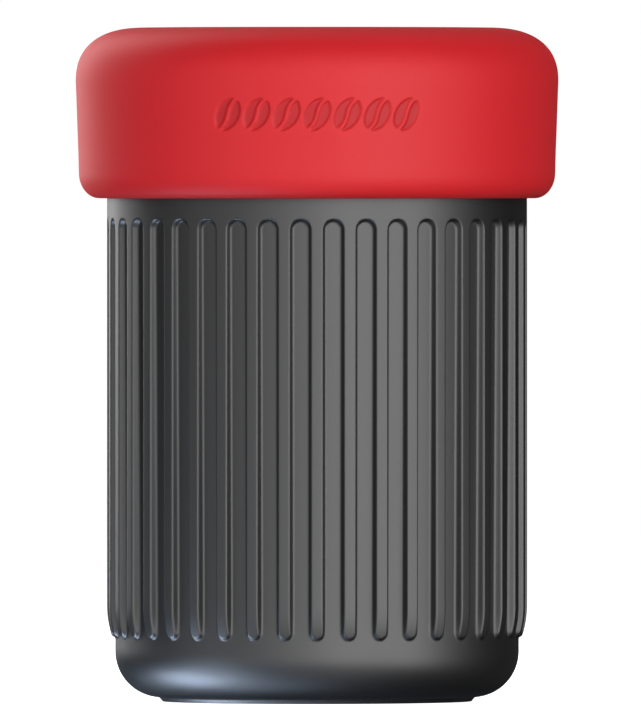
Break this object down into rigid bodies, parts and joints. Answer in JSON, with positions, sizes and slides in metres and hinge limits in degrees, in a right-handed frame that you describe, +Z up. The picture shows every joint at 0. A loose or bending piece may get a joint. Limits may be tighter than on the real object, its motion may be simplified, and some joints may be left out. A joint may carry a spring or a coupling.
{
  "type": "travel coffee press in its own mug",
  "caption": "Ribbed drinking mug with a stretch lid, packed with a plunger coffee press, filter cap, filter holder, scoop and folding stirrer.",
  "frame": {"origin": "centre of the mug's foot ring, on the surface the mug stands on", "axes": "+Z up through the lid; -Y is the front, which the scoop's mouth faces; +X to the right seen from the front"},
  "size_m": [0.0982, 0.0982, 0.137],
  "materials": {
    "mug_plastic": "satin moulded polypropylene, charcoal grey",
    "lid_silicone": "soft matte red silicone",
    "press_plastic": "translucent smoke-grey, polished",
    "black_plastic": "fine-grained black polypropylene",
    "seal_rubber": "smooth black rubber",
    "filter_paper": "white crepe paper"
  },
  "bodies": {
    "mug": {"mug": "mug_plastic"},
    "filter_holder": {"filter_holder_tray": "black_plastic"},
    "spare_filters": {"spare_filters": "filter_paper"},
    "holder_cover": {"filter_holder_cover": "black_plastic"},
    "stirrer": {"stirrer_handle": "black_plastic", "stirrer_paddle": "black_plastic", "stirrer_pin": "black_plastic"},
    "scoop": {"scoop": "black_plastic"},
    "plunger": {"plunger_tube": "press_plastic", "plunger_seal": "seal_rubber"},
    "chamber": {"chamber": "press_plastic"},
    "cap_filter": {"cap_filter": "filter_paper"},
    "filter_cap": {"filter_cap": "black_plastic"},
    "lid": {"lid": "lid_silicone"}
  },
  "joints": [
    {"name": "kit_lift", "type": "slide", "parent": "mug", "child": "filter_holder", "axis": [0, 0, 1], "range_m": [0, 0.115]},
    {"name": "filters_lift", "type": "slide", "parent": "filter_holder", "child": "spare_filters", "axis": [0, 0, 1], "range_m": [0, 0.01]},
    {"name": "cover_lift", "type": "slide", "parent": "spare_filters", "child": "holder_cover", "axis": [0, 0, 1], "range_m": [0, 0.012]},
    {"name": "stirrer_lift", "type": "slide", "parent": "holder_cover", "child": "stirrer", "axis": [0, 0, 1], "range_m": [0, 0.01]},
    {"name": "scoop_lift", "type": "slide", "parent": "stirrer", "child": "scoop", "axis": [0, 0, 1], "range_m": [0, 0.095]},
    {"name": "plunger_lift", "type": "slide", "parent": "scoop", "child": "plunger", "axis": [0, 0, 1], "range_m": [0, 0.095]},
    {"name": "press_stroke", "type": "slide", "parent": "plunger", "child": "chamber", "axis": [0, 0, 1], "range_m": [0, 0.112]},
    {"name": "cap_lift", "type": "slide", "parent": "chamber", "child": "cap_filter", "axis": [0, 0, 1], "range_m": [0, 0.016]},
    {"name": "cap_twist", "type": "hinge", "parent": "cap_filter", "child": "filter_cap", "pos_m": [0, 0, 0.127], "axis": [0, 0, 1], "range_deg": [0, 24]},
    {"name": "lid_lift", "type": "slide", "parent": "cap_filter", "child": "lid", "axis": [0, 0, 1], "range_m": [0, 0.04]}
  ]
}
